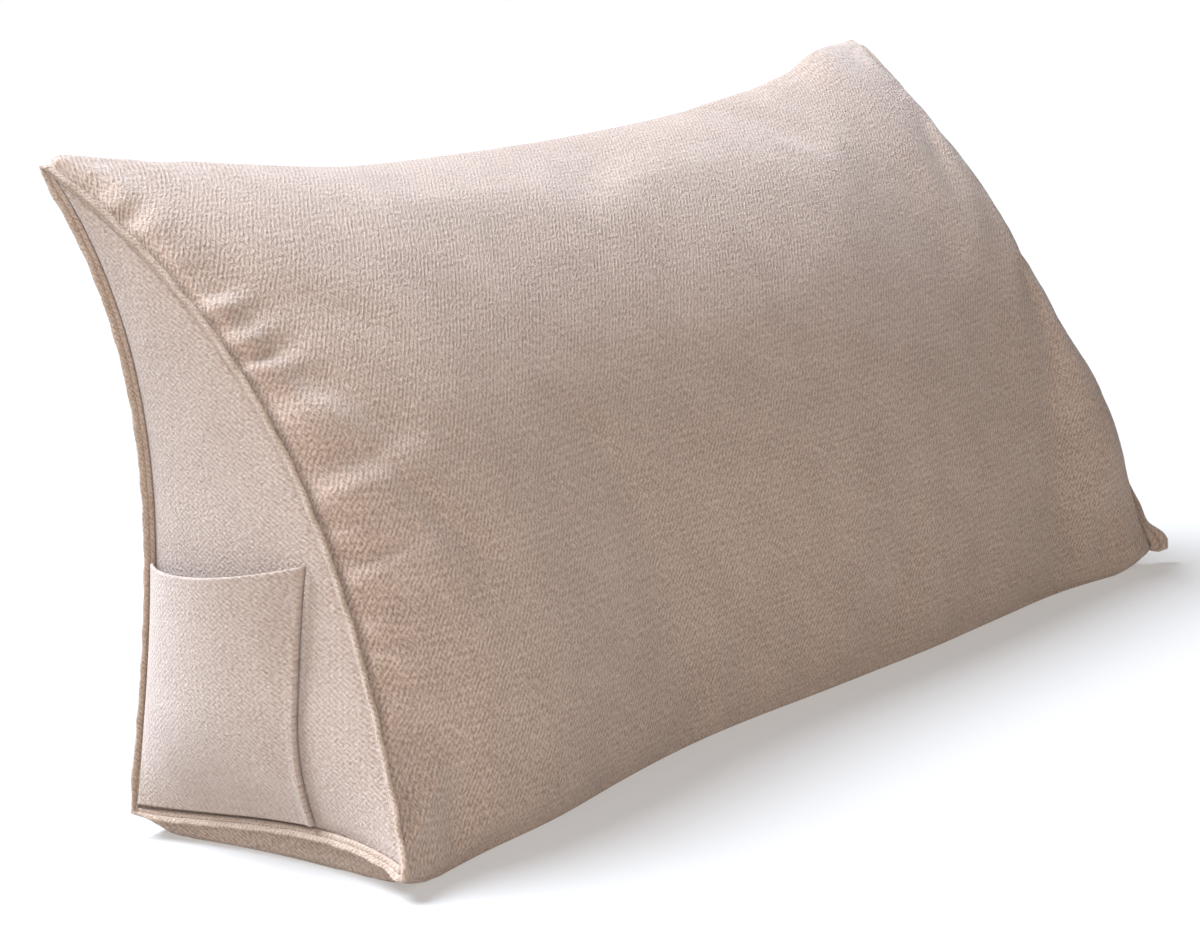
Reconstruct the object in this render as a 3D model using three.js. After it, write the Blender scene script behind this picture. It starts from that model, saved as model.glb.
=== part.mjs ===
// A wedge-shaped backrest pillow: a filled cloth body with a flat base, a slanting crowned front and a
// nearly upright back, closed at each end by a fin-shaped panel. The seam round each end stands out as a
// topstitched flange, the six corners stick out as ears, and a patch pocket is sewn to one end.
//
// Millimetres, +Z up, the front faces -Y and the pocket is at -X. The origin is on the floor under the
// middle of the pillow's box.

import * as THREE from "three";
import { mergeVertices } from "three/addons/utils/BufferGeometryUtils.js";

// Driving sizes.
const earSpan = 600; // along X, between the corners of the two ends
const baseDepth = 183; // along Y, between the two lower corners of an end
const earHeight = 312; // the top corner of an end
const earLean = -2; // how far the top corner stands behind the lower back corner
const cornerLift = 13; // the lower corners of the ends hang just above the floor
const clearance = 0.3; // kept between pieces that touch
const panelThickness = 2;

// Each edge of the cross-section. endBow and skew bow the end seam out from the straight line between its
// corners, skew towards the seam's upper or rear end, and drawIn pulls it towards the middle of the pillow.
// Away from the seam the cloth swells, by swell in all and by the shoulder's part of it within its reach.
// spread is 1 where the shoulder thins out towards the corners and less where it stays full. The front's
// shoulder and draw-in differ between the ends.
const edges = {
  front: { endBow: 35.5, skew: 11, swell: 22 },
  back: { endBow: -27, skew: -8, swell: 21, drawIn: 13, shoulder: { rise: 8, reach: 15, spread: 1 } },
  base: { endBow: -4, skew: 2.6, swell: 34, drawIn: 9, shoulder: { rise: 28, reach: 13, spread: 1 } },
};
const crownSharpness = 3; // how flat the crown is along the middle of the pillow

// Where each edge starts and ends, and the way it faces as [y, z], going round front, back and base.
const route = {
  front: { from: "frontFoot", to: "top", facing: [-1, 0] },
  back: { from: "top", to: "backFoot", facing: [1, 0] },
  base: { from: "backFoot", to: "frontFoot", facing: [0, -1] },
};
const edgeNames = Object.keys(route);

// How the seams curve: how square the draw-in is, and how fast the base seam's bow dies out up a panel.
const drawShape = 0.8;
const baseBowFade = 6;

// Away from the ends no seam holds the corners, so the cloth rolls over them: roll is the length of edge
// that the curve takes on either side. The lower corners drop to the floor just inside the ears and are
// pulled in along the middle. The top corner first puffs up and then settles.
const corners = {
  frontFoot: { roll: 27, dropReach: 45, pullIn: 13 },
  top: { roll: 26, puff: 6, puffReach: 8, settle: 11, settleReach: 95, settleShape: 1.3 },
  backFoot: { roll: 24, dropReach: 24, pullIn: 5 },
};
const rollSharpness = 7; // how full the lower rolls stay near the ears

// Where the top edge and the front foot depart from that even shape: a gentle swell of the given reach.
const unevenness = {
  top: [
    { x: 256, reach: 26, out: 13 },
    { x: -235, reach: 40, out: 1.5 },
    { x: 150, reach: 50, out: 1.5 },
  ],
  frontFoot: [
    { x: -70, reach: 85, out: -9 },
    { x: -205, reach: 45, out: 6 },
    { x: 110, reach: 45, out: 2 },
    { x: 240, reach: 45, out: -7 },
  ],
};

// Swells of the front, up being measured along it from the foot.
const frontSwells = [{ x: 276, up: 95, reach: 34, reachUp: 60, out: 8 }];

// An end panel's middle stands out from its seams by dome.
const dome = 8;
const domeShape = { widthwise: 0.75, footShare: 0.2 };

// The steps of the mesh: up an end panel, across it, and along the pillow from each end seam.
const panelRows = 24;
const panelColumns = 12;
const stations = [0, 3, 7, 12, 18, 27, 38, 52, 70, 95, 135, 185, 240, 300];
const gather = { panelRows: 0.25, panelColumns: 0.45, pocketRows: 0.5, pocketColumns: 0.6 };

// A crease is narrowest at the seam, widens on its way, sets in over a short stretch and fades out.
const creaseShape = { startWidth: 0.8, widening: 0.8, onset: 1 / 6, fade: 1.3, steepness: 2 };

// The two ends. The flange turns from pointing straight out
// of the end, at 0, to halfway round to the cover, at 1, and grows at the front foot. The creases run from
// the end seam over the front: at is where along the seam from its foot, reach how far along the pillow,
// width their width along the seam and climb how far they rise on the way.
const ends = {
  pocket: {
    side: -1,
    frontShoulder: { rise: 30, reach: 72, spread: 1 },
    frontDrawIn: 19,
    frontDrawSkew: 0,
    flangeTurn: 1,
    footGrowth: 1.3,
    creases: [
      { at: 26, reach: 105, depth: 2.6, width: 17, climb: 52 },
      { at: 78, reach: 62, depth: 1.5, width: 15, climb: 14 },
      { at: 118, reach: 70, depth: 2.1, width: 16, climb: 17 },
      { at: 152, reach: 64, depth: 1.7, width: 13, climb: 20 },
      { at: 186, reach: 92, depth: 3.0, width: 17, climb: 34 },
      { at: 221, reach: 96, depth: 3.1, width: 16, climb: 40 },
      { at: 252, reach: 66, depth: 2.2, width: 12, climb: 30 },
      { at: 287, reach: 58, depth: 1.9, width: 13, climb: 24 },
      { at: 331, reach: 44, depth: 2.3, width: 12, climb: 14 },
    ],
  },
  plain: {
    side: 1,
    frontShoulder: { rise: 18, reach: 20, spread: 0.45 },
    frontDrawIn: 19.5,
    frontDrawSkew: 0.55,
    flangeTurn: 0.55,
    footGrowth: 2.4,
    creases: [
      { at: 34, reach: 84, depth: 2.3, width: 17, climb: 40 },
      { at: 96, reach: 58, depth: 1.7, width: 16, climb: 12 },
      { at: 148, reach: 76, depth: 2.2, width: 17, climb: 22 },
      { at: 203, reach: 88, depth: 2.6, width: 16, climb: 36 },
      { at: 262, reach: 60, depth: 2.0, width: 14, climb: 26 },
      { at: 322, reach: 46, depth: 2.1, width: 13, climb: 14 },
    ],
  },
};

// The stitched flange: its width from the seam, its thickness, the taper at its edge, where it starts clear
// of the panel and the body, and how far its width grows or shrinks within cornerReach of the other corners.
const flange = {
  width: 4.6,
  thickness: 2.6,
  tipThickness: 1.6,
  taper: 1,
  root: 0.8,
  topGrowth: 0.7,
  backFootGrowth: 0.6,
  cornerReach: 9,
};

// The patch pocket: its mouth at the back seam and at the folded edge, the folded edge itself, and how far
// it stands off the panel. The seam insets keep it clear of the seams that hold it.
const pocket = {
  mouthBack: 131,
  mouthFront: 136.5,
  mouthSag: 2.5,
  foldAtMouth: -37,
  foldAtWaist: -30,
  foldAtFoot: -29,
  backInset: 2.2,
  baseInset: 3.4,
  standOff: 0.8,
  thickness: 1.8,
  foldThickness: 2.8,
  foldWidth: 5,
  fullness: 11,
  fullnessShape: { across: 0.8, up: 3, atFoot: 0.6 },
  columns: 14,
  rows: 12,
};

const coverColour = 0xbfa797;
const panelColour = 0xcbb8aa;
const flangeColour = 0xbda596;
const clothRoughness = 0.9;

const { lerp } = THREE.MathUtils;
const bump = (t) => 4 * t * (1 - t);

// A cross-section's place along the pillow runs from -1 at the pocket's end seam to 1 at the other.
const distanceFromSeam = (place) => (1 - Math.abs(place)) * (earSpan / 2);

// A rise that starts upright and levels off at reach, as a quarter of an ellipse.
const roundRise = (distance, reach) => Math.sqrt(1 - (1 - Math.min(1, distance / reach)) ** 2);

const swellOver = (offset, reach) => Math.exp(-((offset / reach) ** 2));

// How far the top edge has settled from the ears to the middle.
function settled(place) {
  const { settleReach, settleShape } = corners.top;
  return 1 - Math.exp(-((distanceFromSeam(place) / settleReach) ** settleShape));
}

const rollAt = (name, place) =>
  corners[name].roll * (name === "top" ? settled(place) : 1 - Math.abs(place) ** rollSharpness);

// The three corners of the cross-section as [y, z].
function cornerPoint(name, place) {
  const fromSeam = distanceFromSeam(place);
  const middling = 1 - Math.abs(place) ** crownSharpness;
  const uneven = (unevenness[name] ?? []).reduce(
    (sum, { x, reach, out }) => sum + out * swellOver(place * (earSpan / 2) - x, reach) * middling,
    0,
  );
  if (name === "top") {
    const { puff, puffReach, settle } = corners.top;
    const rise = puff * roundRise(fromSeam, puffReach) - settle * settled(place);
    return [baseDepth / 2 + earLean, earHeight + rise + uneven];
  }
  const { dropReach, pullIn } = corners[name];
  const side = name === "frontFoot" ? -1 : 1;
  const z = cornerLift * (1 - roundRise(fromSeam, dropReach));
  return [side * (baseDepth / 2 - pullIn * middling + uneven), z];
}

const shoulderAt = (name, place) =>
  name === "front" ? (place < 0 ? ends.pocket : ends.plain).frontShoulder : edges[name].shoulder;

// How far an edge bows out at a place.
function bowAt(name, t, place) {
  const { endBow, skew, swell } = edges[name];
  const { rise, reach, spread } = shoulderAt(name, place);
  const middling = 1 - Math.abs(place) ** crownSharpness;
  const upwards = name === "front" ? t : 1 - t;
  const skewed = skew * 2 * (2 * upwards - 1);
  const shoulder = rise * roundRise(distanceFromSeam(place), reach) * bump(t) ** lerp(spread, 1, middling);
  return bump(t) * (endBow + skewed + (swell - rise) * middling) + shoulder;
}

// A point of an edge before its corners are rolled. t goes from the edge's start to its end.
function edgePoint(name, t, place) {
  const [y0, z0] = cornerPoint(route[name].from, place);
  const [y1, z1] = cornerPoint(route[name].to, place);
  const out = bowAt(name, t, place);
  const [facingY, facingZ] = route[name].facing;
  return [lerp(y0, y1, t) + out * facingY, lerp(z0, z1, t) + out * facingZ];
}

const edgeLength = Object.fromEntries(
  edgeNames.map((name) => {
    const [a, b] = [edgePoint(name, 0, 1), edgePoint(name, 1, 1)];
    return [name, Math.hypot(b[0] - a[0], b[1] - a[1])];
  }),
);

// The curve that rolls over the corner between two edges, over going from 0 to 1 across it.
function rolledCorner(before, after, roll, over, place) {
  const a = edgePoint(before, 1 - roll / edgeLength[before], place);
  const b = edgePoint(after, 0, place);
  const c = edgePoint(after, roll / edgeLength[after], place);
  const weights = [(1 - over) ** 2, 2 * over * (1 - over), over ** 2];
  return [0, 1].map((k) => weights[0] * a[k] + weights[1] * b[k] + weights[2] * c[k]);
}

// A point of the finished cross-section. The floor flattens what would hang below it.
function sectionPoint(name, t, place) {
  const order = edgeNames.indexOf(name);
  const before = edgeNames[(order + 2) % 3];
  const after = edgeNames[(order + 1) % 3];
  const { from, to } = route[name];
  const startRoll = rollAt(from, place);
  const endRoll = rollAt(to, place);
  const fromStart = t * edgeLength[name];
  const fromEnd = (1 - t) * edgeLength[name];
  let point = edgePoint(name, t, place);
  if (fromStart < startRoll) {
    point = rolledCorner(before, name, startRoll, 0.5 + fromStart / startRoll / 2, place);
  } else if (fromEnd < endRoll) {
    point = rolledCorner(name, after, endRoll, 0.5 - fromEnd / endRoll / 2, place);
  }
  return [point[0], Math.max(0, point[1])];
}

// Steps from 0 to 1, even when pull is 0 and drawn together near both ends when it is more.
function gatheredSteps(count, pull) {
  return Array.from({ length: count + 1 }, (_, step) => {
    const even = step / count;
    return lerp(even, (1 - Math.cos(Math.PI * even)) / 2, pull);
  });
}
const heights = gatheredSteps(panelRows, gather.panelRows);
const widths = gatheredSteps(panelColumns, gather.panelColumns);

// The front has two steps for each row of the panel, because its creases are narrow.
const frontSteps = heights.flatMap((v, row) => (row ? [(heights[row - 1] + v) / 2, v] : [v]));

// The steps round a cross-section, starting at the front foot.
const ring = [
  ...frontSteps.slice(0, -1).map((v) => ({ name: "front", t: v })),
  ...heights.slice(1).map((_, row) => ({ name: "back", t: 1 - heights[panelRows - row] })),
  ...widths.slice(1).map((_, column) => ({ name: "base", t: 1 - widths[panelColumns - column] })),
];

// How far an end seam lies from the middle of the pillow: furthest at the ears.
function seamReach(end, name, t) {
  const drawIn = name === "front" ? end.frontDrawIn : edges[name].drawIn;
  const skewed = name === "front" ? 1 + end.frontDrawSkew * (2 * t - 1) : 1;
  return earSpan / 2 - drawIn * skewed * bump(t) ** drawShape;
}

// The depth of the creases at a place on the front.
function creaseDepth(creases, along, fromSeam) {
  const { startWidth, widening, onset, fade, steepness } = creaseShape;
  return creases.reduce((sum, { at, reach, depth, width, climb }) => {
    if (fromSeam >= reach) return sum;
    const run = fromSeam / reach;
    const offset = (along - at - climb * run) / (width * (startWidth + widening * run));
    const strength = Math.min(1, run / onset) * (1 - run) ** fade;
    return sum + depth * strength * Math.exp(-steepness * offset * offset);
  }, 0);
}

// A point of the cloth body in the half that belongs to an end. The two halves have the same reach where
// they meet in the middle.
function bodyPoint({ name, t }, end, fromSeam) {
  const place = end.side * (1 - fromSeam / (earSpan / 2));
  const reach = seamReach(end, name, t) - panelThickness - clearance;
  const [y, z] = sectionPoint(name, t, place);
  const point = new THREE.Vector3(reach * place, y, z);
  if (name === "front") {
    const up = t * edgeLength.front;
    point.y += creaseDepth(end.creases, up, fromSeam);
    frontSwells.forEach((swell) => {
      const near = swellOver(point.x - swell.x, swell.reach) * swellOver(up - swell.up, swell.reachUp);
      point.y -= swell.out * near * roundRise(fromSeam, end.frontShoulder.reach);
    });
  }
  return point;
}

// A point of the outer face of an end panel, v going up it and w from the front seam to the back seam. The
// base seam's bow dies out in the rows just above it.
function panelPoint(end, v, w, inset = 0) {
  const [frontY, z] = edgePoint("front", v, 1);
  const [backY] = edgePoint("back", 1 - v, 1);
  const baseBow = edgePoint("base", 1 - w, 1)[1] - cornerLift;
  const seams = lerp(seamReach(end, "front", v), seamReach(end, "back", 1 - v), w);
  const foot = seamReach(end, "base", 1 - w) - earSpan / 2;
  const shape = bump(w) ** domeShape.widthwise;
  const risen = Math.min(1, v / domeShape.footShare);
  const out = lerp(foot, dome * shape * Math.sqrt(1 - v), risen * (2 - risen));
  return new THREE.Vector3(
    end.side * (seams + out - inset),
    lerp(frontY, backY, w),
    z + baseBow * (1 - v) ** baseBowFade,
  );
}

const samePoint = 1e-6;
const mergeReach = 1e-4;

// A list of triangles, and the ways of adding to it. Points that are the same are merged at the end.
class Skin {
  corners = [];

  addFace(a, b, c) {
    const shortest = Math.min(a.distanceTo(b), b.distanceTo(c), c.distanceTo(a));
    if (shortest > samePoint) this.corners.push(a, b, c);
  }

  // A band between two rows of points with the same number of steps.
  addBand(row, nextRow, closed) {
    const steps = closed ? row.length : row.length - 1;
    for (let step = 0; step < steps; step += 1) {
      const next = (step + 1) % row.length;
      this.addFace(row[step], nextRow[step], row[next]);
      this.addFace(row[next], nextRow[step], nextRow[next]);
    }
  }

  turnOver() {
    for (let k = 0; k < this.corners.length; k += 3) {
      [this.corners[k + 1], this.corners[k + 2]] = [this.corners[k + 2], this.corners[k + 1]];
    }
    return this;
  }

  add(other) {
    this.corners.push(...other.corners);
    return this;
  }

  toGeometry() {
    const merged = mergeVertices(new THREE.BufferGeometry().setFromPoints(this.corners), mergeReach);
    merged.computeVertexNormals();
    return merged;
  }
}

// One face of an end panel, facing out of the pillow. Its first column is stitched to the front's finer
// steps.
function panelFace(end, inset) {
  const face = new Skin();
  const point = (v, w) => panelPoint(end, v, w, inset);
  heights.slice(1).forEach((v, row) => {
    const below = heights[row];
    const inner = widths.slice(1);
    face.addBand(inner.map((w) => point(below, w)), inner.map((w) => point(v, w)), false);
    const [low, middle, high] = [below, (below + v) / 2, v].map((level) => point(level, 0));
    const [innerLow, innerHigh] = [point(below, widths[1]), point(v, widths[1])];
    face.addFace(low, middle, innerLow);
    face.addFace(middle, innerHigh, innerLow);
    face.addFace(middle, high, innerHigh);
  });
  return end.side < 0 ? face : face.turnOver();
}

// The edge of a panel's face, in the ring's order.
const panelEdge = (end, inset) =>
  ring.map(({ name, t }) => {
    if (name === "front") return panelPoint(end, t, 0, inset);
    if (name === "back") return panelPoint(end, 1 - t, 1, inset);
    return panelPoint(end, 0, 1 - t, inset);
  });

// An end panel: a fin-shaped sheet over the body's end.
function endPanel(end) {
  const rim = new Skin();
  rim.addBand(panelEdge(end, 0), panelEdge(end, panelThickness), true);
  if (end.side > 0) rim.turnOver();
  return rim.add(panelFace(end, 0)).add(panelFace(end, panelThickness).turnOver());
}

// The filled body: loops along its length, between two end faces that lie just inside the panels.
function cushionBody() {
  const underPanel = panelThickness + clearance;
  const halfLoops = (end) =>
    stations.map((fromSeam) => ring.map((step) => bodyPoint(step, end, fromSeam)));
  const loops = [...halfLoops(ends.pocket), ...halfLoops(ends.plain).reverse().slice(1)];
  const skin = new Skin();
  loops.slice(1).forEach((loop, index) => skin.addBand(loops[index], loop, true));
  return skin.add(panelFace(ends.pocket, underPanel)).add(panelFace(ends.plain, underPanel));
}

// The flange round an end: a thin band that stands out from the seam, its root held where it is while its
// width grows or shrinks towards the corners.
function seamFlange(end) {
  const seam = panelEdge(end, 0);
  const at = (index) => seam[(index + seam.length) % seam.length];
  const { width, thickness, tipThickness, taper, root, topGrowth, backFootGrowth, cornerReach } = flange;
  const growth = { frontFoot: end.footGrowth, top: topGrowth, backFoot: backFootGrowth };
  const grownBy = (corner, distance) => (growth[corner] - 1) * Math.max(0, 1 - distance / cornerReach);
  const profile = [
    [root, -thickness / 2],
    [width - taper, -thickness / 2],
    [width, -tipThickness / 2],
    [width, tipThickness / 2],
    [width - taper, thickness / 2],
    [root, thickness / 2],
  ];
  const awayFrom = (from, to) => new THREE.Vector3(0, from.z - to.z, to.y - from.y).normalize();
  const endwards = new THREE.Vector3(end.side, 0, 0);
  const sections = seam.map((point, index) => {
    const inPlane = awayFrom(at(index - 1), point).add(awayFrom(point, at(index + 1))).normalize();
    const out = endwards.clone().addScaledVector(inPlane, end.flangeTurn).normalize();
    const across = endwards.clone().multiplyScalar(end.flangeTurn).sub(inPlane).normalize();
    const { name, t } = ring[index];
    const { from, to } = route[name];
    const length = edgeLength[name];
    const grown = 1 + grownBy(from, t * length) + grownBy(to, (1 - t) * length);
    return profile.map(([reach, offset]) =>
      point
        .clone()
        .addScaledVector(out, reach > root ? reach * grown : root)
        .addScaledVector(across, offset),
    );
  });
  const skin = new Skin();
  sections.forEach((section, index) => {
    skin.addBand(section, sections[(index + 1) % sections.length], true);
  });
  return end.side > 0 ? skin.turnOver() : skin;
}

// The pocket: a sheet held along the back seam, the base seam and a folded edge, open and a little full at
// its mouth. across goes from the folded edge to the back seam, up from the base seam to the mouth.
function patchPocket() {
  const shape = pocket.fullnessShape;
  const foldControl = 2 * pocket.foldAtWaist - (pocket.foldAtMouth + pocket.foldAtFoot) / 2;
  const foldY = (up) =>
    (1 - up) ** 2 * pocket.foldAtFoot + 2 * up * (1 - up) * foldControl + up ** 2 * pocket.foldAtMouth;
  const face = (outer) =>
    gatheredSteps(pocket.rows, gather.pocketRows).map((up) =>
      gatheredSteps(pocket.columns, gather.pocketColumns).map((across) => {
        const mouth = lerp(pocket.mouthFront, pocket.mouthBack, across) - pocket.mouthSag * bump(across);
        const z = lerp(cornerLift + pocket.baseInset, mouth, up);
        const v = (z - cornerLift) / (earHeight - cornerLift);
        const frontY = panelPoint(ends.pocket, v, 0).y;
        const backY = panelPoint(ends.pocket, v, 1).y;
        const y = lerp(foldY(up), backY - pocket.backInset, across);
        const full = bump(across) ** shape.across * (1 - (1 - up) ** shape.up) * lerp(shape.atFoot, 1, up);
        const toFold = Math.min(1, (y - foldY(up)) / pocket.foldWidth);
        const thickness = lerp(pocket.foldThickness, pocket.thickness, toFold);
        const point = panelPoint(ends.pocket, v, (y - frontY) / (backY - frontY));
        point.x -= pocket.standOff + pocket.fullness * full + (outer ? thickness : 0);
        return point;
      }),
    );
  const [inner, outer] = [face(false), face(true)];
  const skin = new Skin();
  const edge = (rows) => [
    ...rows[0],
    ...rows.slice(1).map((row) => row.at(-1)),
    ...rows.at(-1).slice(0, -1).reverse(),
    ...rows.slice(1, -1).map((row) => row[0]).reverse(),
  ];
  outer.slice(1).forEach((row, index) => skin.addBand(outer[index], row, false));
  const lining = new Skin();
  inner.slice(1).forEach((row, index) => lining.addBand(inner[index], row, false));
  const rim = new Skin();
  rim.addBand(edge(outer), edge(inner), true);
  return skin.add(lining.turnOver()).add(rim.turnOver());
}

function piece(name, skin, colour) {
  const finish = { color: colour, roughness: clothRoughness, metalness: 0 };
  const material = new THREE.MeshStandardMaterial(finish);
  const mesh = new THREE.Mesh(skin.toGeometry(), material);
  mesh.name = name;
  return mesh;
}

const pillow = new THREE.Group();
pillow.add(
  piece("cushion_body", cushionBody(), coverColour),
  piece("end_panel_with_pocket", endPanel(ends.pocket), panelColour),
  piece("end_panel_plain", endPanel(ends.plain), panelColour),
  piece("seam_flange_pocket_end", seamFlange(ends.pocket), flangeColour),
  piece("seam_flange_plain_end", seamFlange(ends.plain), flangeColour),
  piece("patch_pocket", patchPocket(), panelColour),
);

// The middle of the box goes over the origin. The body rests at Z 0 as it is.
const box = new THREE.Box3().setFromObject(pillow);
const middle = box.getCenter(new THREE.Vector3());
pillow.position.set(-middle.x, -middle.y, 0);

export default pillow;
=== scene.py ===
import math

import bmesh
import bpy
import numpy as np
from mathutils import Matrix, Vector


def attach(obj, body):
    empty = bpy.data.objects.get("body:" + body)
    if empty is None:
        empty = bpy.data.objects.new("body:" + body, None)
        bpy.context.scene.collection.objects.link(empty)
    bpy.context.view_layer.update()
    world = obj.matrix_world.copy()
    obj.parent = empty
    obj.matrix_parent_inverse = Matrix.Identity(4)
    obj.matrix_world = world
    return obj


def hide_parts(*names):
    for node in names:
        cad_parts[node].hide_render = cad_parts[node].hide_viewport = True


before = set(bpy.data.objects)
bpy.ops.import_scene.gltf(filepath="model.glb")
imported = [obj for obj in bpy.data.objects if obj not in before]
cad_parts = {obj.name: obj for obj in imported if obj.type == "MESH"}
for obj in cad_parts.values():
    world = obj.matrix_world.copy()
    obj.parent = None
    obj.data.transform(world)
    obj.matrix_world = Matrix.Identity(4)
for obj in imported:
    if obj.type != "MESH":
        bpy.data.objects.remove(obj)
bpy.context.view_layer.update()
print("frame loaded")

# Camera, at the photo's place.

camera = {
    "place": (-0.97217, -0.87265, 0.366),
    "turn": -46.17,
    "down": 10.51,
    "roll": -6.2,
    "lens": 77.05,
    "sensor": 36,
}


def placeCamera(settings):
    turn, down, roll = (math.radians(settings[key]) for key in ("turn", "down", "roll"))
    back = Vector((math.sin(turn) * math.cos(down), -math.cos(turn) * math.cos(down), math.sin(down)))
    right = (-back).cross(Vector((0, 0, 1))).normalized()
    up = right.cross(-back)
    rolledRight = right * math.cos(roll) + up * math.sin(roll)
    rolledUp = up * math.cos(roll) - right * math.sin(roll)
    bpy.ops.object.camera_add()
    made = bpy.context.object
    made.name = "photo_camera"
    axes = Matrix((rolledRight, rolledUp, back)).transposed()
    made.matrix_world = Matrix.Translation(settings["place"]) @ axes.to_4x4()
    made.data.lens = settings["lens"]
    made.data.sensor_width = settings["sensor"]
    bpy.context.scene.camera = made


placeCamera(camera)

# The pillow's shape, drafted in mm as the frame is.

pillow = {
    "earSpan": 600,
    "baseDepth": 183,
    "earHeight": 312,
    "earLean": -2,
    "cornerLift": 13,
    "underPanel": 2.3,
    "middle": (-1.868, 1.252),
    "crownSharpness": 3,
    "rollSharpness": 7,
    "drawShape": 0.8,
}
edges = {
    "front": {"endBow": 35.5, "skew": 22, "swell": 22},
    "back": {"endBow": -27, "skew": -16, "swell": 21, "drawIn": 13, "shoulder": (8, 15, 1)},
    "base": {"endBow": -4, "skew": 5.2, "swell": 34, "drawIn": 9, "shoulder": (28, 13, 1)},
}
route = {
    "front": ("frontFoot", "top", (-1, 0)),
    "back": ("top", "backFoot", (1, 0)),
    "base": ("backFoot", "frontFoot", (0, -1)),
}
order = list(route)
corners = {
    "frontFoot": {"roll": 27, "dropReach": 45, "pullIn": 13, "side": -1},
    "top": {"roll": 26, "puff": 6, "puffReach": 8, "settle": 11, "settleReach": 95, "settleShape": 1.3},
    "backFoot": {"roll": 24, "dropReach": 24, "pullIn": 5, "side": 1},
}
# Each is its place along the pillow, its reach and how far it stands out.
unevenness = {
    "top": [(256, 26, 13), (-235, 40, 1.5), (150, 50, 1.5)],
    "frontFoot": [(-70, 85, -9), (-205, 45, 6), (110, 45, 2), (240, 45, -7)],
    "backFoot": [],
}
# A shoulder is its rise, its reach and how it spreads towards the corners.
ends = {
    "pocket": {
        "side": -1,
        "shoulder": (30, 72, 1),
        "frontDrawIn": 19,
        "frontDrawSkew": 0,
        "flangeTurn": 1.45,
        "flangeSway": 0.5,
        "footGrowth": 1.3,
    },
    "plain": {
        "side": 1,
        "shoulder": (18, 20, 0.45),
        "frontDrawIn": 19.5,
        "frontDrawSkew": 0.55,
        "flangeTurn": 0.55,
        "flangeSway": 0,
        "footGrowth": 2.4,
    },
}
halfSpan = pillow["earSpan"] / 2
mm = 0.001
# How strongly the steps of a grid gather at its edges.
gather = {"rise": 0.25, "width": 0.45, "panelWidth": 0.5, "pocketRise": 0.5, "pocketWidth": 0.6}


def bump(t):
    return 4 * t * (1 - t)


def roundRise(distance, reach):
    return np.sqrt(1 - (1 - np.minimum(1, distance / reach)) ** 2)


def swellOver(offset, reach):
    return np.exp(-((offset / reach) ** 2))


def smooth(value):
    level = np.clip(value, 0, 1)
    return level * level * (3 - 2 * level)


def fromSeamAt(place):
    return (1 - np.abs(place)) * halfSpan


def settledAt(place):
    top = corners["top"]
    return 1 - np.exp(-((fromSeamAt(place) / top["settleReach"]) ** top["settleShape"]))


def rollAt(name, place):
    eased = settledAt(place) if name == "top" else 1 - np.abs(place) ** pillow["rollSharpness"]
    return corners[name]["roll"] * eased + 1e-9


def cornerPoint(name, place):
    corner = corners[name]
    middling = 1 - np.abs(place) ** pillow["crownSharpness"]
    swells = (out * swellOver(place * halfSpan - x, reach) for x, reach, out in unevenness[name])
    uneven = sum(swells) * middling
    if name == "top":
        rise = corner["puff"] * roundRise(fromSeamAt(place), corner["puffReach"])
        rise = rise - corner["settle"] * settledAt(place)
        y = np.full_like(place, pillow["baseDepth"] / 2 + pillow["earLean"])
        return y, pillow["earHeight"] + rise + uneven
    z = pillow["cornerLift"] * (1 - roundRise(fromSeamAt(place), corner["dropReach"]))
    y = corner["side"] * (pillow["baseDepth"] / 2 - corner["pullIn"] * middling + uneven)
    return y, z


def edgePoint(name, t, place):
    start, stop, facing = route[name]
    edge = edges[name]
    y0, z0 = cornerPoint(start, place)
    y1, z1 = cornerPoint(stop, place)
    middling = 1 - np.abs(place) ** pillow["crownSharpness"]
    if name == "front":
        shoulders = zip(ends["pocket"]["shoulder"], ends["plain"]["shoulder"])
        rise, reach, spread = (np.where(place < 0, *pair) for pair in shoulders)
    else:
        rise, reach, spread = edge["shoulder"]
    upwards = t if name == "front" else 1 - t
    bow = edge["endBow"] + edge["skew"] * (2 * upwards - 1) + (edge["swell"] - rise) * middling
    full = bump(t) ** (spread + (1 - spread) * middling)
    out = bump(t) * bow + rise * roundRise(fromSeamAt(place), reach) * full
    return y0 + (y1 - y0) * t + out * facing[0], z0 + (z1 - z0) * t + out * facing[1]


def measureEdge(name):
    first, last = (np.array(edgePoint(name, np.array(t, float), np.array(1.0))) for t in (0, 1))
    return float(np.linalg.norm(last - first))


edgeLength = {name: measureEdge(name) for name in order}


def rolledCorner(before, after, roll, over, place):
    a = edgePoint(before, 1 - roll / edgeLength[before], place)
    b = edgePoint(after, np.zeros_like(place), place)
    c = edgePoint(after, roll / edgeLength[after], place)
    return [(1 - over) ** 2 * a[k] + 2 * over * (1 - over) * b[k] + over**2 * c[k] for k in (0, 1)]


def sectionPoint(name, t, place):
    index = order.index(name)
    before, after = order[index - 1], order[(index + 1) % 3]
    startRoll, endRoll = rollAt(route[name][0], place), rollAt(route[name][1], place)
    fromStart, fromEnd = t * edgeLength[name], (1 - t) * edgeLength[name]
    y, z = edgePoint(name, t, place)
    first = rolledCorner(before, name, startRoll, 0.5 + np.minimum(fromStart / startRoll, 1) / 2, place)
    last = rolledCorner(name, after, endRoll, 0.5 - np.minimum(fromEnd / endRoll, 1) / 2, place)
    y = np.where(fromStart < startRoll, first[0], np.where(fromEnd < endRoll, last[0], y))
    z = np.where(fromStart < startRoll, first[1], np.where(fromEnd < endRoll, last[1], z))
    return y, np.maximum(0, z)


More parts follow.
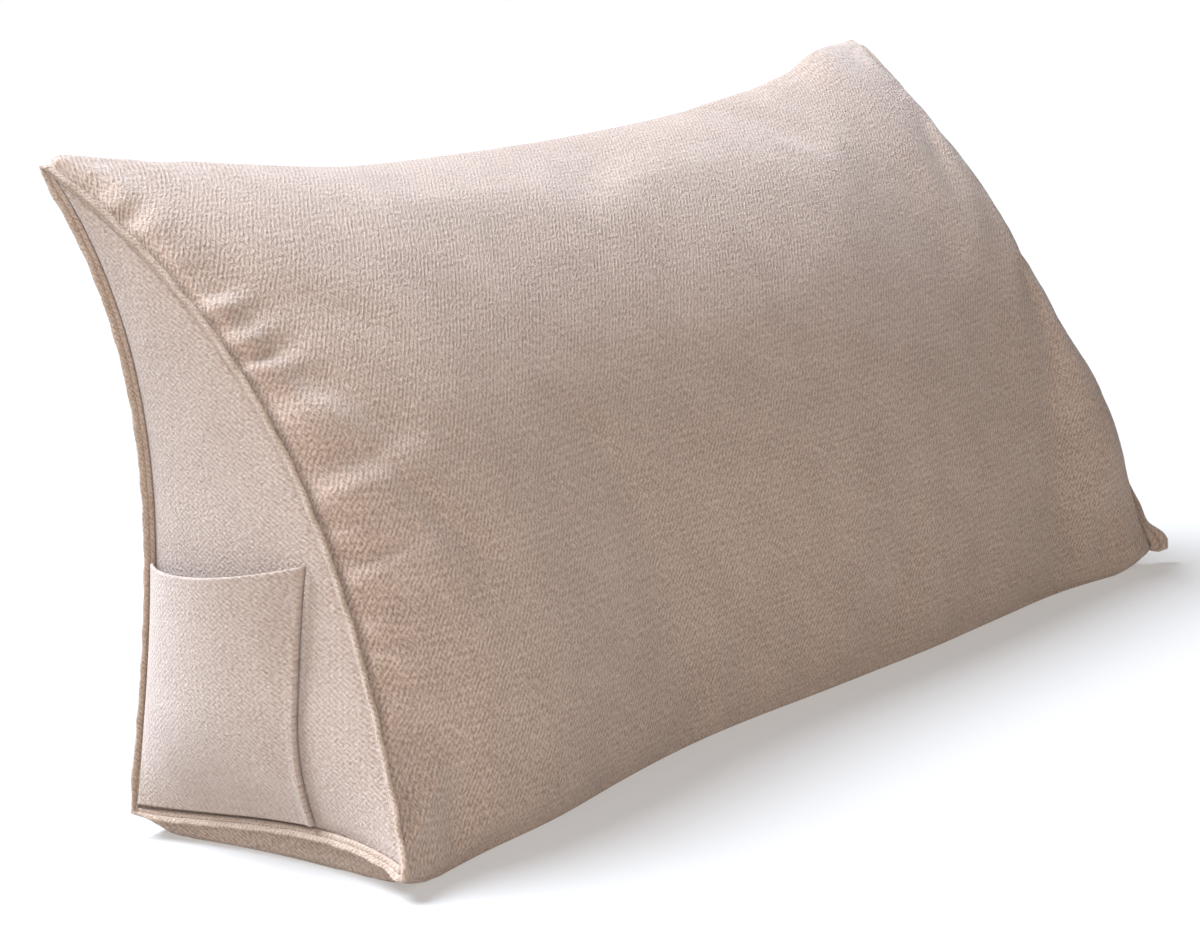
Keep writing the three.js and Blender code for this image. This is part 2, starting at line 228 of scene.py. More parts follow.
def seamReach(end, name, t):
    drawIn = end["frontDrawIn"] if name == "front" else edges[name]["drawIn"]
    skewed = 1 + end["frontDrawSkew"] * (2 * t - 1) if name == "front" else 1
    return halfSpan - drawIn * skewed * bump(t) ** pillow["drawShape"]


panelShape = {"dome": 8, "widthwise": 0.75, "footShare": 0.2, "baseBowFade": 6}


def panelPoint(end, v, w, inset):
    one = np.ones_like(v + w)
    v, w = v * one, w * one
    frontY, z = edgePoint("front", v, one)
    backY, _ = edgePoint("back", 1 - v, one)
    baseBow = edgePoint("base", 1 - w, one)[1] - pillow["cornerLift"]
    seams = seamReach(end, "front", v) * (1 - w) + seamReach(end, "back", 1 - v) * w
    foot = seamReach(end, "base", 1 - w) - halfSpan
    dome = panelShape["dome"] * bump(w) ** panelShape["widthwise"] * np.sqrt(1 - v)
    risen = np.minimum(1, v / panelShape["footShare"])
    out = foot + (dome - foot) * risen * (2 - risen)
    x = end["side"] * (seams + out - inset)
    y = frontY + (backY - frontY) * w
    return np.stack([x, y, z + baseBow * (1 - v) ** panelShape["baseBowFade"]], -1)


def gatheredSteps(count, pull):
    even = np.linspace(0, 1, count + 1)
    return even * (1 - pull) + (1 - np.cos(math.pi * even)) / 2 * pull


def addPiece(name, points, faces, coords=None):
    mesh = bpy.data.meshes.new(name)
    mesh.from_pydata(((points + np.array([*pillow["middle"], 0])) * mm).tolist(), [], faces)
    made = bpy.data.objects.new(name, mesh)
    bpy.context.scene.collection.objects.link(made)
    if coords is not None:
        layer = mesh.uv_layers.new(name="cloth")
        layer.data.foreach_set("uv", coords.astype(np.float32).ravel())
    work = bmesh.new()
    work.from_mesh(mesh)
    if coords is not None:
        bmesh.ops.remove_doubles(work, verts=work.verts, dist=2e-6)
        bmesh.ops.dissolve_degenerate(work, edges=work.edges, dist=1e-6)
    bmesh.ops.recalc_face_normals(work, faces=work.faces)
    for face in work.faces:
        face.smooth = True
    work.to_mesh(mesh)
    work.free()
    mesh.update()
    return made


# A patchwork of point grids that becomes one closed mesh. UVs are in metres of cloth.
def buildMesh(name, grids):
    places, faces, coords = [], [], []
    start = 0
    for points, uv, flipped in grids:
        rows, columns = points.shape[:2]
        index = np.arange(rows * columns).reshape(rows, columns) + start
        quads = np.stack([index[:-1, :-1], index[:-1, 1:], index[1:, 1:], index[1:, :-1]], -1).reshape(-1, 4)
        faces.append(quads[:, ::-1] if flipped else quads)
        places.append(points.reshape(-1, 3))
        coords.append(uv.reshape(-1, 2))
        start += rows * columns
    faces = np.concatenate(faces)
    return addPiece(name, np.concatenate(places), faces.tolist(), np.concatenate(coords)[faces.ravel()])


def closedSheet(name, outer, inner):
    uv = outer[..., :0:-1] * mm
    every = slice(None)
    rims = []
    for edge in ((0, every), (-1, every), (every, 0), (every, -1)):
        rims.append((np.stack([outer[edge], inner[edge]]), np.stack([uv[edge], uv[edge]]), False))
    return buildMesh(name, [(outer, uv, False), (inner, uv, True), *rims])


def unit(vectors):
    return vectors / np.maximum(np.linalg.norm(vectors, axis=-1, keepdims=True), 1e-9)


def gridNormals(points):
    return unit(np.cross(np.gradient(points, axis=0), np.gradient(points, axis=1)))


def lengthAlong(points, axis):
    steps = np.linalg.norm(np.diff(points, axis=axis), axis=-1)
    start = np.zeros_like(np.take(steps, [0], axis=axis))
    return np.concatenate([start, np.cumsum(steps, axis=axis)], axis=axis)


# Woven cloth, a coarse chenille linen in a broken twill.

thread = {
    "acrossPerMetre": 400,
    "upPerMetre": 300,
    "twill": 0.3,
    "crossTwill": 0.16,
    "course": 0.12,
    "wander": 0.0012,
    "wanderSize": 0.007,
    "fuzz": 3.2,
    "fuzzSize": 0.0012,
    "mottle": 0.6,
    "mottleSize": 0.03,
    "slub": 3.6,
    "slubTurn": -36.9,
    "slubSize": (0.0009, 0.0028, 1),
    "relief": 0.00017,
}


def toLinear(hexColour):
    values = [int(hexColour[i : i + 2], 16) / 255 for i in (1, 3, 5)]
    return [v / 12.92 if v <= 0.04045 else ((v + 0.055) / 1.055) ** 2.4 for v in values] + [1]


def addNode(tree, kind, inputs=None, **settings):
    node = tree.nodes.new(kind)
    for key, value in settings.items():
        setattr(node, key, value)
    for key, value in (inputs or {}).items():
        if isinstance(value, bpy.types.NodeSocket):
            tree.links.new(value, node.inputs[key])
        else:
            node.inputs[key].default_value = value
    return node


def makeCloth(name, light, dark, contrast, relief):
    material = bpy.data.materials.new(name)
    material.use_nodes = True
    tree = material.node_tree
    tree.nodes.clear()
    uv = addNode(tree, "ShaderNodeUVMap", uv_map="cloth").outputs["UV"]
    wander = {"Vector": uv, "Scale": 1 / thread["wanderSize"], "Detail": 2.0}
    wander = addNode(tree, "ShaderNodeTexNoise", wander).outputs["Color"]
    shift = {0: wander, 1: (0.5, 0.5, 0.5)}
    shift = addNode(tree, "ShaderNodeVectorMath", shift, operation="SUBTRACT").outputs[0]
    shift = {0: shift, "Scale": thread["wander"]}
    shift = addNode(tree, "ShaderNodeVectorMath", shift, operation="SCALE").outputs[0]
    place = addNode(tree, "ShaderNodeVectorMath", {0: uv, 1: shift}, operation="ADD").outputs[0]
    across, up = thread["acrossPerMetre"] * math.tau, thread["upPerMetre"] * math.tau
    waves = (
        ((across, -up, 0), thread["twill"]),
        ((across, up, 0), thread["crossTwill"]),
        ((0, up, 0), thread["course"]),
    )
    pattern = 0.0
    for wave, share in waves:
        phase = addNode(tree, "ShaderNodeVectorMath", {0: place, 1: wave}, operation="DOT_PRODUCT")
        sine = addNode(tree, "ShaderNodeMath", {0: phase.outputs["Value"]}, operation="SINE").outputs[0]
        pattern = {0: sine, 1: share, 2: pattern}
        pattern = addNode(tree, "ShaderNodeMath", pattern, operation="MULTIPLY_ADD").outputs[0]
    fuzz = {"Vector": uv, "Scale": 1 / thread["fuzzSize"], "Detail": 3.0, "Roughness": 0.6}
    fuzz = addNode(tree, "ShaderNodeTexNoise", fuzz).outputs["Fac"]
    mottle = {"Vector": uv, "Scale": 1 / thread["mottleSize"], "Detail": 4.0, "Roughness": 0.65}
    mottle = addNode(tree, "ShaderNodeTexNoise", mottle).outputs["Fac"]
    fuzz = addNode(tree, "ShaderNodeMath", {0: fuzz, 1: 0.5}, operation="SUBTRACT").outputs[0]
    mottle = {0: mottle, 1: thread["mottle"], 2: 0.5 - thread["mottle"] / 2}
    mottle = addNode(tree, "ShaderNodeMath", mottle, operation="MULTIPLY_ADD").outputs[0]
    height = {0: fuzz, 1: thread["fuzz"], 2: pattern}
    height = addNode(tree, "ShaderNodeMath", height, operation="MULTIPLY_ADD").outputs[0]
    slant = {"Vector": uv, "Rotation": (0, 0, math.radians(thread["slubTurn"])), "Scale": thread["slubSize"]}
    slant = addNode(tree, "ShaderNodeMapping", slant, vector_type="TEXTURE").outputs["Vector"]
    slub = addNode(tree, "ShaderNodeTexNoise", {"Vector": slant, "Scale": 1.0, "Detail": 2.0}).outputs["Fac"]
    slub = addNode(tree, "ShaderNodeMath", {0: slub, 1: 0.5}, operation="SUBTRACT").outputs[0]
    height = {0: slub, 1: thread["slub"], 2: height}
    height = addNode(tree, "ShaderNodeMath", height, operation="MULTIPLY_ADD").outputs[0]
    tone = {0: height, 1: contrast, 2: mottle}
    tone = addNode(tree, "ShaderNodeMath", tone, operation="MULTIPLY_ADD").outputs[0]
    colour = addNode(
        tree,
        "ShaderNodeMix",
        {"Factor": tone, "A": toLinear(dark), "B": toLinear(light)},
        data_type="RGBA",
        clamp_factor=True,
    )
    bumped = {"Height": height, "Strength": 1.0, "Distance": thread["relief"] * relief}
    bumped = addNode(tree, "ShaderNodeBump", bumped).outputs["Normal"]
    shader = addNode(
        tree,
        "ShaderNodeBsdfPrincipled",
        {
            "Base Color": colour.outputs["Result"],
            "Roughness": 0.92,
            "Specular IOR Level": 0.15,
            "Sheen Weight": 0.36,
            "Sheen Roughness": 0.6,
            "Sheen Tint": toLinear("#F4F1EE"),
            "Normal": bumped,
        },
    )
    addNode(tree, "ShaderNodeOutputMaterial", {"Surface": shader.outputs["BSDF"]})
    return material


coverCloth = makeCloth("chenille_linen_cover", "#C2A893", "#8D735F", 0.62, 1.1)
panelCloth = makeCloth("chenille_linen_panel", "#B9A494", "#917966", 0.45, 1.1)
flangeCloth = makeCloth("chenille_linen_flange", "#BFA692", "#93785F", 0.5, 1.1)


def finishPiece(made, material, *nodes):
    made.data.materials.clear()
    made.data.materials.append(material)
    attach(made, "root")
    if nodes:
        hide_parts(*nodes)


# Filled cover.

body = {
    "rows": 140,
    "baseColumns": 48,
    "stations": 96,
    "nearSeam": 0.35,
    "gather": 2.2,
    "unevenFrom": 6,
    "topFade": 0.06,
    "footFade": 0.04,
}

# Puckers of the front beside the pocket's seam.
# Each goes from x, z to x, z and has a width and a height, which is below 0 for a trough.
puckers = [
    (-294, 297, -281, 301, 7, -1.6),
    (-292, 293, -269, 298, 8, 1.2),
    (-296, 285, -267, 295, 6, -2.6),
    (-295, 280, -259, 290, 9, 1.2),
    (-284, 259, -249, 269, 9, -1.3),
    (-286, 250, -249, 259, 7, -2.0),
    (-286, 246, -243, 255, 8, 2.2),
    (-286, 238, -251, 245, 7, -1.8),
    (-286, 230, -248, 238, 7, 1.8),
    (-286, 223, -247, 232, 6, -3.0),
    (-284, 220, -239, 225, 8, 2.2),
    (-283, 207, -243, 212, 9, -1.5),
    (-281, 197, -227, 204, 14, 1.6),
    (-280, 178, -212, 183, 13, -2.4),
    (-280, 162, -213, 177, 12, 3.0),
    (-281, 153, -254, 159, 7, -1.6),
    (-281, 147, -245, 152, 8, 1.4),
    (-281, 138, -231, 146, 9, -2.2),
    (-281, 128, -226, 137, 9, 2.6),
    (-282, 116, -240, 121, 8, -1.4),
    (-282, 108, -247, 110, 7, 1.8),
    (-282, 102, -249, 105, 6, -1.2),
    (-283, 96, -249, 99, 7, 1.4),
    (-284, 83, -247, 88, 9, -1.5),
    (-284, 73, -245, 77, 9, 1.8),
    (-286, 59, -249, 64, 9, -1.3),
    (-290, 38, -263, 57, 9, -1.8),
    (-291, 22, -251, 51, 13, 3.0),
    (-266, 10, -241, 37, 13, -1.8),
]
puckerShape = {
    "startWidth": 0.5,
    "widens": 0.42,
    "widensUntil": 1.3,
    "startsEarly": 0.12,
    "startFade": 0.25,
    "fadesFrom": 0.25,
    "endFade": 0.9,
}
# Each is its x, its place up the front, its two reaches and its height.
frontSwells = [(276, 95, 34, 60, 8)]


def puckerHeight(x, z):
    shape = puckerShape
    total = np.zeros_like(x)
    for x0, z0, x1, z1, width, height in puckers:
        dx, dz = x1 - x0, z1 - z0
        length = math.hypot(dx, dz)
        run = ((x - x0) * dx + (z - z0) * dz) / length**2
        offset = ((x - x0) * dz - (z - z0) * dx) / length
        widened = shape["widens"] * np.clip(run, 0, shape["widensUntil"])
        started = smooth((run + shape["startsEarly"]) / shape["startFade"])
        ended = smooth((run - shape["fadesFrom"]) / shape["endFade"])
        total += height * started * (1 - ended) * swellOver(offset, width * (shape["startWidth"] + widened))
    return total


# Cloth simulation of the filled cover on a coarser net, its end seams and its base held.
puffing = {
    "every": 3,
    "frames": 20,
    "quality": 6,
    "mass": 0.3,
    "stretchStiffness": 40,
    "shearStiffness": 12,
    "bendingStiffness": 1.5,
    "airDamping": 4,
    "pressure": 4,
    "looseness": 0.03,
    "startsInside": 5,
    "insideFrom": 40,
    "cap": 24,
    "keeps": 7,
}


def spreadOver(values, coarse, fine, axis):
    moved = np.moveaxis(values, axis, 0)
    at = np.interp(fine, coarse, np.arange(len(coarse)))
    below = np.minimum(at.astype(int), len(coarse) - 2)
    part = (at - below).reshape(-1, *[1] * (moved.ndim - 1))
    part = (smooth(part) + part) / 2
    return np.moveaxis(moved[below] * (1 - part) + moved[below + 1] * part, 0, axis)


def puffedOut(points, resting):
    rows, columns = points.shape[:2]
    rowsUsed = np.unique(np.append(np.arange(0, rows, puffing["every"]), rows - 1))
    columnsUsed = np.arange(0, columns - 1, puffing["every"])
    ring = len(columnsUsed)
    full = np.array([points[row][columnsUsed] for row in rowsUsed])
    closed = np.concatenate([full, full[:, :1]], 1)
    outward = gridNormals(closed)[:, :-1]
    fromEnd = np.minimum(full[..., 0] - full[:1, :, 0], full[-1:, :, 0] - full[..., 0])
    held = resting[columnsUsed][None, :] * np.ones((len(rowsUsed), 1))
    inside = puffing["startsInside"] * smooth(fromEnd / puffing["insideFrom"]) * (1 - held)
    start = full - outward * inside[..., None]
    net = bpy.data.meshes.new("net")
    index = np.arange(len(rowsUsed) * ring).reshape(len(rowsUsed), ring)
    after = np.roll(index, -1, 1)
    quads = np.stack([index[:-1], after[:-1], after[1:], index[1:]], -1).reshape(-1, 4)
    net.from_pydata((start.reshape(-1, 3) * mm).tolist(), [], quads[:, ::-1].tolist())
    sheet = bpy.data.objects.new("net", net)
    bpy.context.scene.collection.objects.link(sheet)
    pins = sheet.vertex_groups.new(name="held")
    pinned = held.copy()
    pinned[0] = pinned[-1] = 1
    pins.add([int(i) for i in np.nonzero(pinned.ravel() > 0.5)[0]], 1.0, "REPLACE")
    cloth = sheet.modifiers.new("cloth", "CLOTH").settings
    cloth.quality = puffing["quality"]
    cloth.mass = puffing["mass"]
    cloth.tension_stiffness = cloth.compression_stiffness = puffing["stretchStiffness"]
    cloth.shear_stiffness = puffing["shearStiffness"]
    cloth.bending_stiffness = puffing["bendingStiffness"]
    cloth.air_damping = puffing["airDamping"]
    cloth.vertex_group_mass = "held"
    cloth.use_pressure = True
    cloth.uniform_pressure_force = puffing["pressure"]
    cloth.shrink_min = -puffing["looseness"]
    cloth.effector_weights.gravity = 0
    for step in range(1, puffing["frames"] + 1):
        bpy.context.scene.frame_set(step)
    settled = sheet.evaluated_get(bpy.context.evaluated_depsgraph_get()).to_mesh()
    moved = np.empty(len(settled.vertices) * 3)
    settled.vertices.foreach_get("co", moved)
    bpy.context.scene.frame_set(1)
    bpy.data.objects.remove(sheet)
    bpy.data.meshes.remove(net)
    moved = moved.reshape(full.shape) / mm - full
    size = np.linalg.norm(moved, axis=-1, keepdims=True)
    moved *= np.minimum(1, puffing["cap"] / np.maximum(size, 1e-9))
    moved *= puffing["keeps"] / puffing["cap"]
    moved = np.concatenate([moved, moved[:, :1]], 1)
    moved = spreadOver(moved, rowsUsed, np.arange(rows), 0)
    return spreadOver(moved, np.append(columnsUsed, columns - 1), np.arange(columns), 1)


def makeBody():
    stations = np.linspace(0, 1, body["stations"] + 1)
    fromSeam = halfSpan * (body["nearSeam"] * stations + (1 - body["nearSeam"]) * stations ** body["gather"])
    place = np.concatenate([fromSeam / halfSpan - 1, (1 - fromSeam / halfSpan)[-2::-1]])
    rise = gatheredSteps(body["rows"], gather["rise"])
    width = gatheredSteps(body["baseColumns"], gather["width"])
    ring = [("front", t) for t in rise[:-1]] + [("back", 1 - t) for t in rise[:0:-1]]
    ring += [("base", 1 - w) for w in width[:0:-1]] + [("base", 1.0)]
    names = np.array([name for name, _ in ring])
    steps = np.array([t for _, t in ring])
    points = np.zeros((len(place), len(ring), 3))
    for name in order:
        chosen = np.nonzero(names == name)[0]
        t, p = np.meshgrid(steps[chosen], place)
        y, z = sectionPoint(name, t, p)
        reach = np.where(p < 0, seamReach(ends["pocket"], name, t), seamReach(ends["plain"], name, t))
        points[:, chosen] = np.stack([(reach - pillow["underPanel"]) * p, y, z], -1)
    front = names == "front"
    shown = points[:, front]
    t, p = np.meshgrid(steps[front], place)
    out = puckerHeight(shown[..., 0], shown[..., 2])
    for x, up, reach, reachUp, height in frontSwells:
        out += height * swellOver(shown[..., 0] - x, reach) * swellOver(t * edgeLength["front"] - up, reachUp)
    out *= roundRise(fromSeamAt(p), body["unevenFrom"])
    out *= smooth((1 - t) / body["topFade"]) * smooth(t / body["footFade"])
    points[:, front] += gridNormals(shown) * out[..., None]
    points += puffedOut(points, names == "base")
    around = lengthAlong(points, 1)[len(place) // 2]
    along = lengthAlong(points, 0)
    along -= along[len(place) // 2]
    uv = np.stack([along, np.broadcast_to(around, points.shape[:2])], -1) * mm
    grids = [(points, uv, False)]
    for end in ends.values():
        v, w = np.meshgrid(rise, width, indexing="ij")
        cap = panelPoint(end, v, w, pillow["underPanel"])
        grids.append((cap, cap[..., 1:] * mm, end["side"] > 0))
    return buildMesh("filled_cover", grids)


cover = makeBody()
finishPiece(cover, coverCloth, "cushion_body")
print("cover made")

# End panels.

panelGrid = {
    "rows": 110,
    "columns": 44,
    "thickness": 2,
    "seamDip": 1.7,
    "seamDipReach": 2.6,
    "seamDipFrom": 1.5,
    "rimWidth": 0.01,
}


def makePanel(name, end):
    rise = gatheredSteps(panelGrid["rows"], gather["rise"])
    width = gatheredSteps(panelGrid["columns"], gather["panelWidth"])
    v, w = np.meshgrid(rise, width, indexing="ij")
    outer = panelPoint(end, v, w, 0)
    inner = panelPoint(end, v, w, panelGrid["thickness"])
    fromFront, fromBack = outer[..., 1] - outer[:, :1, 1], outer[:, -1:, 1] - outer[..., 1]
    fromFoot = outer[..., 2] - outer[:1, :, 2]
    nearest = np.minimum(np.minimum(fromFront, fromBack), fromFoot)
    inside = nearest > panelGrid["rimWidth"]
    dip = panelGrid["seamDip"] * swellOver(nearest, panelGrid["seamDipReach"]) * inside
    outer[..., 0] -= end["side"] * dip * np.minimum(1, nearest / panelGrid["seamDipFrom"])
    return closedSheet(name, outer, inner)


# Seam flanges, topstitched.

flange = {
    "width": 4.6,
    "root": -0.8,
    "topGrowth": 0.7,
    "backFootGrowth": 0.6,
    "cornerReach": 14,
    "cornerFan": 6,
    "rows": 150,
    "columns": 80,
    "widthWaves": (0.03, (37, 1), (61, 4)),
    "leanWaves": (0.25, (23, 0), (44, 2)),
}
stitch = {"at": 0.44, "offset": 0.6, "pitch": 3.2, "length": 2.5, "thickness": 0.6, "lift": 0.05}
# Each is the reach as a share of the width, and the offset in mm, going round the flange's edge.
flangeProfile = [
    (0.0, -1.15),
    (0.2, -1.4),
    (0.36, -1.25),
    (0.44, -0.45),
    (0.52, -1.2),
    (0.7, -1.35),
    (0.9, -1.05),
    (0.98, -0.55),
    (1.0, 0.0),
    (0.98, 0.55),
    (0.9, 1.05),
    (0.7, 1.35),
    (0.52, 1.2),
    (0.44, 0.45),
    (0.36, 1.25),
    (0.2, 1.4),
    (0.0, 1.15),
]


def seamLoop(end):
    rise = gatheredSteps(flange["rows"], gather["rise"])
    width = gatheredSteps(flange["columns"], gather["width"])
    zero = np.zeros(1)
    front = panelPoint(end, rise[:-1], zero, 0)
    back = panelPoint(end, rise[:0:-1], zero + 1, 0)
    base = panelPoint(end, zero, width[:0:-1], 0)
    return np.concatenate([front, back, base]), (0, len(front), len(front) + len(back))


def seamAxes(end, loop):
    plane = np.zeros_like(loop)
    for a, b in ((loop, np.roll(loop, 1, 0)), (np.roll(loop, -1, 0), loop)):
        plane += unit(np.stack([np.zeros(len(loop)), b[:, 2] - a[:, 2], a[:, 1] - b[:, 1]], -1))
    for _ in range(flange["cornerFan"]):
        plane = (np.roll(plane, 1, 0) + 2 * plane + np.roll(plane, -1, 0)) / 4
    plane = unit(plane)
    endwards = np.array([end["side"], 0, 0])
    turn = end["flangeTurn"] * (1 - end["flangeSway"] * plane[:, 1:2])
    return unit(endwards + plane * turn), unit(endwards * turn - plane)


def wavesAlong(turns, waves):
    size, *parts = waves
    return size * sum(np.sin(turns * count + start) for count, start in parts)


def flangeSections(end):
    loop, cornerAt = seamLoop(end)
    out, across = seamAxes(end, loop)
    arc = np.concatenate([[0], np.cumsum(np.linalg.norm(np.diff(loop, axis=0), axis=1))])
    total = arc[-1] + np.linalg.norm(loop[0] - loop[-1])
    growth = np.ones(len(loop))
    grown = (end["footGrowth"], flange["topGrowth"], flange["backFootGrowth"])
    for corner, factor in zip(cornerAt, grown):
        gap = np.abs(arc - arc[corner])
        gap = np.minimum(gap, total - gap)
        growth += (factor - 1) * smooth(1 - gap / flange["cornerReach"])
    turns = arc / total * math.tau
    growth *= 1 + wavesAlong(turns, flange["widthWaves"])
    return loop, out, across, arc, total, growth, wavesAlong(turns, flange["leanWaves"])


def flangePoint(parts, reachShare, offset):
    loop, out, across, _, _, growth, lean = parts
    reach = flange["root"] + reachShare * (flange["width"] * growth - flange["root"])
    padded = offset * np.maximum(1, growth)
    return loop + out * reach[:, None] + across * (padded + lean * reachShare)[:, None]


def makeFlange(name, end):
    parts = flangeSections(end)
    rows = [flangePoint(parts, share, offset) for share, offset in flangeProfile]
    rows.append(rows[0])
    points = np.stack(rows, 1)
    points = np.concatenate([points, points[:1]])
    arc = np.append(parts[3], parts[4])
    girth = lengthAlong(points[:1], 1)[0]
    uv = np.stack(np.meshgrid(arc, girth, indexing="ij"), -1) * mm
    return buildMesh(name, [(points, uv, False)])


# Spun polyester sewing thread, its two plies showing as a fine twist.
threadColour = bpy.data.materials.new("spun_polyester_thread")
threadColour.use_nodes = True
threadTree = threadColour.node_tree
threadShader = threadTree.nodes["Principled BSDF"]
threadShader.inputs["Roughness"].default_value = 0.6
where = addNode(threadTree, "ShaderNodeTexCoord").outputs["Object"]
twist = {"Vector": where, "Scale": 700.0, "Distortion": 2.0}
twist = addNode(threadTree, "ShaderNodeTexWave", twist, bands_direction="DIAGONAL").outputs["Fac"]
plies = {"Factor": twist, "A": toLinear("#7F6654"), "B": toLinear("#99806D")}
plies = addNode(threadTree, "ShaderNodeMix", plies, data_type="RGBA")
threadTree.links.new(plies.outputs["Result"], threadShader.inputs["Base Color"])


def makeStitches(name, end):
    parts = flangeSections(end)
    arc, total = parts[3], parts[4]
    count = round(total / stitch["pitch"])
    bpy.ops.mesh.primitive_uv_sphere_add(segments=6, ring_count=4, radius=1)
    ball = bpy.context.object.data
    shape = np.array([v.co for v in ball.vertices])
    polygons = [list(p.vertices) for p in ball.polygons]
    bpy.data.objects.remove(bpy.context.object)
    bpy.data.meshes.remove(ball)
    halfLength, halfThickness = stitch["length"] / 2, stitch["thickness"] / 2
    places, faces = [], []
    for side in (1, -1):
        line = flangePoint(parts, stitch["at"], side * stitch["offset"])
        closed = np.concatenate([line, line[:1]])
        marks = np.append(arc, total)
        normal = parts[2] * side
        for step in range(count):
            middle = (step + 0.5) * total / count
            a, b, c = (
                np.array([np.interp(middle + shift, marks, closed[:, k]) for k in range(3)])
                for shift in (-halfLength, 0, halfLength)
            )
            near = int(np.argmin(np.abs(arc - middle)))
            run = unit(c - a)
            lift = unit(normal[near] - run * (normal[near] @ run))
            size = np.stack([run * halfLength, np.cross(lift, run) * halfThickness, lift * halfThickness])
            places.append(shape @ size + b + lift * stitch["lift"])
            faces += [[i + len(shape) * (len(places) - 1) for i in polygon] for polygon in polygons]
    return addPiece(name, np.concatenate(places), faces)


for key, end in ends.items():
    nodeName = "end_panel_with_pocket" if key == "pocket" else "end_panel_plain"
    panel = makePanel("side_panel_" + key, end)
    finishPiece(panel, panelCloth, nodeName)
    band = makeFlange("flange_" + key, end)
    finishPiece(band, flangeCloth, "seam_flange_" + key + "_end")
    stitches = makeStitches("stitches_" + key, end)
    finishPiece(stitches, threadColour)
print("panels and flanges made")

# Patch pocket.

pocket = {
    "mouthBack": 131,
    "mouthFront": 136.5,
    "mouthSag": 2.5,
    "foldAtMouth": -37,
    "foldAtWaist": -30,
    "foldAtFoot": -29,
    "backInset": 2.2,
    "baseInset": 3.4,
    "standOff": 0.8,
    "thickness": 1.8,
    "foldThickness": 2.8,
    "foldWidth": 5,
    "fullness": 11,
    "fullAcross": 0.8,
    "fullUp": 3,
    "fullAtFoot": 0.6,
    "rows": 70,
    "columns": 60,
}


def makePocket():
    rise = gatheredSteps(pocket["rows"], gather["pocketRise"])
    width = gatheredSteps(pocket["columns"], gather["pocketWidth"])
    up, across = np.meshgrid(rise, width, indexing="ij")
    control = 2 * pocket["foldAtWaist"] - (pocket["foldAtMouth"] + pocket["foldAtFoot"]) / 2
    foldY = (1 - up) ** 2 * pocket["foldAtFoot"] + 2 * up * (1 - up) * control + up**2 * pocket["foldAtMouth"]
    mouth = pocket["mouthFront"] + (pocket["mouthBack"] - pocket["mouthFront"]) * across
    mouth = mouth - pocket["mouthSag"] * bump(across)
    foot = pillow["cornerLift"] + pocket["baseInset"]
    z = foot + (mouth - foot) * up
    v = (z - pillow["cornerLift"]) / (pillow["earHeight"] - pillow["cornerLift"])
    end = ends["pocket"]
    frontY, backY = panelPoint(end, v, v * 0, 0)[..., 1], panelPoint(end, v, v * 0 + 1, 0)[..., 1]
    y = foldY + (backY - pocket["backInset"] - foldY) * across
    full = bump(across) ** pocket["fullAcross"] * (1 - (1 - up) ** pocket["fullUp"])
    full *= pocket["fullAtFoot"] + (1 - pocket["fullAtFoot"]) * up
    toFold = np.minimum(1, (y - foldY) / pocket["foldWidth"])
    thickness = pocket["foldThickness"] + (pocket["thickness"] - pocket["foldThickness"]) * toFold
    seat = panelPoint(end, v, (y - frontY) / (backY - frontY), 0)
    inner, outer = seat.copy(), seat.copy()
    inner[..., 0] -= pocket["standOff"] + pocket["fullness"] * full
    outer[..., 0] = inner[..., 0] - thickness
    return closedSheet("side_pocket", outer, inner)


sidePocket = makePocket()
finishPiece(sidePocket, panelCloth, "patch_pocket")
print("pocket made")

# Floor and light.

# A pale floor that glows with painted light: its emission keeps it white, lightens the pillow's cast shadow
# on it and lights the pillow from below.
bpy.ops.mesh.primitive_plane_add(size=200)
floor = bpy.context.object
floor.name = "pale_floor"
pale = bpy.data.materials.new("floor_with_painted_glow")
pale.use_nodes = True
paleShader = pale.node_tree.nodes["Principled BSDF"].inputs
paleShader["Base Color"].default_value = toLinear("#8F8B86")
paleShader["Roughness"].default_value = 0.9
# Painted light: the floor's own glow, which stands in for light and fills its shadow.
paleShader["Emission Color"].default_value = toLinear("#FFFBF7")
paleShader["Emission Strength"].default_value = 0.37
floor.data.materials.append(pale)

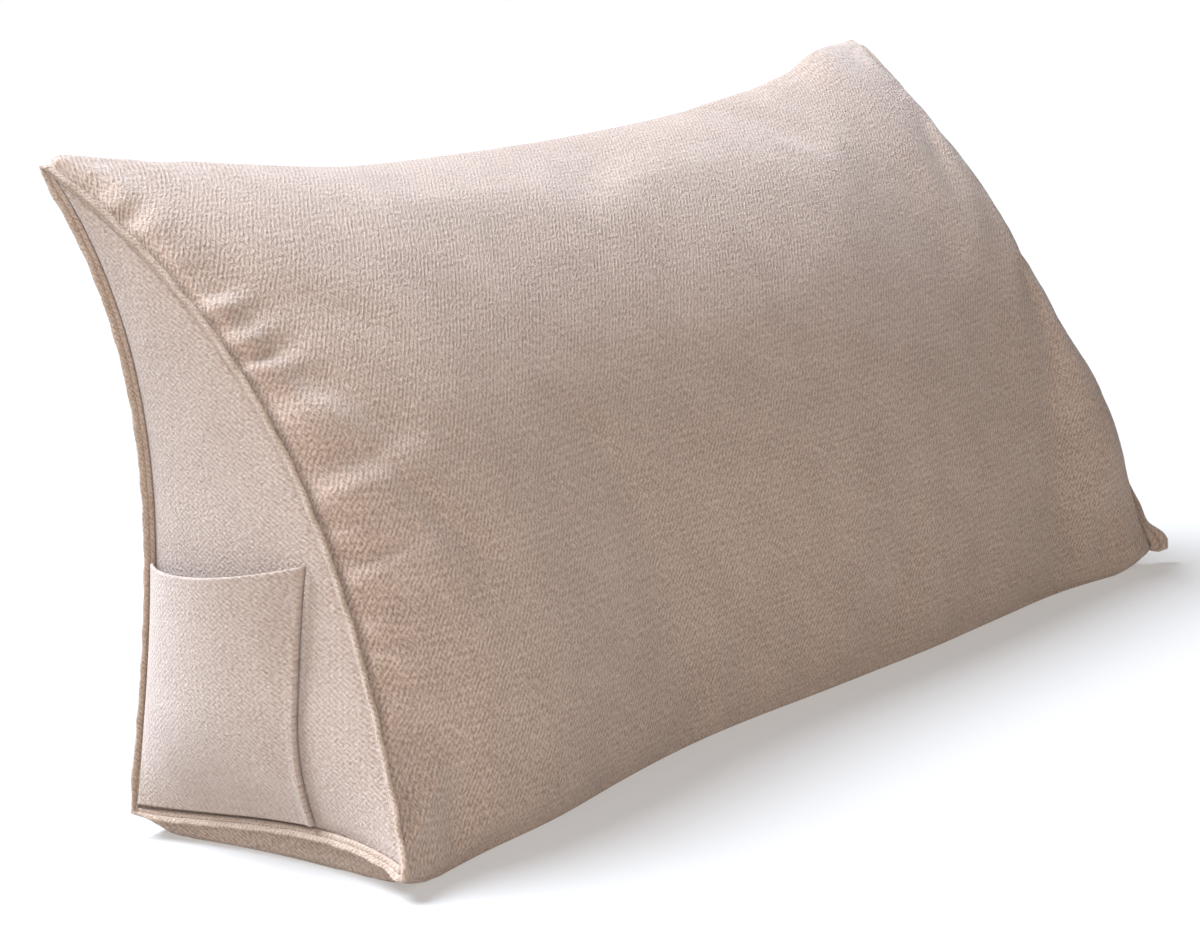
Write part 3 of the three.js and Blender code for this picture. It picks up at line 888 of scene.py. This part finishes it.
# The surroundings are white low down and dimmer overhead, where the lights are.
surroundings = {"low": "#FFFFFF", "overhead": "#554A42", "turnsAt": (0.04, 0.16)}
world = bpy.data.worlds.new("studio")
world.use_nodes = True
worldTree = world.node_tree
facing = addNode(worldTree, "ShaderNodeTexCoord").outputs["Generated"]
height = addNode(worldTree, "ShaderNodeSeparateXYZ", {"Vector": facing}).outputs["Z"]
lowest, highest = surroundings["turnsAt"]
level = addNode(worldTree, "ShaderNodeMapRange", {"Value": height, "From Min": lowest, "From Max": highest})
tint = {
    "Factor": level.outputs["Result"],
    "A": toLinear(surroundings["low"]),
    "B": toLinear(surroundings["overhead"]),
}
tint = addNode(worldTree, "ShaderNodeMix", tint, data_type="RGBA")
worldTree.links.new(tint.outputs["Result"], worldTree.nodes["Background"].inputs["Color"])
bpy.context.scene.world = world

lights = [
    {"name": "softbox_left", "from": (-0.94, -0.1, 0.33), "spread": 25, "strength": 0.5, "colour": "#F4F8FF"},
    {"name": "softbox_behind", "from": (-0.2, 0.5, 0.84), "spread": 34, "strength": 11, "colour": "#DDEBFF"},
]
nearby = {
    "name": "softbox_nearby",
    "place": (-0.76, -0.68, 0.52),
    "aim": (-0.25, -0.03, 0.2),
    "size": 0.35,
    "strength": 5.6,
    "colour": "#EEF3FF",
}


def addLight(kind, light, place, backwards):
    bpy.ops.object.light_add(type=kind, location=place)
    lamp = bpy.context.object
    lamp.name = light["name"]
    lamp.data.energy = light["strength"]
    lamp.data.color = toLinear(light["colour"])[:3]
    lamp.rotation_euler = backwards.to_track_quat("Z", "Y").to_euler()
    return lamp.data


for light in lights:
    sun = addLight("SUN", light, 2 * Vector(light["from"]), Vector(light["from"]))
    sun.angle = math.radians(light["spread"])
softbox = addLight("AREA", nearby, nearby["place"], Vector(nearby["place"]) - Vector(nearby["aim"]))
softbox.size = nearby["size"]

scene = bpy.context.scene
scene.view_settings.view_transform = "Standard"
scene.render.resolution_x, scene.render.resolution_y = 1200, 928
print("floor and light made")
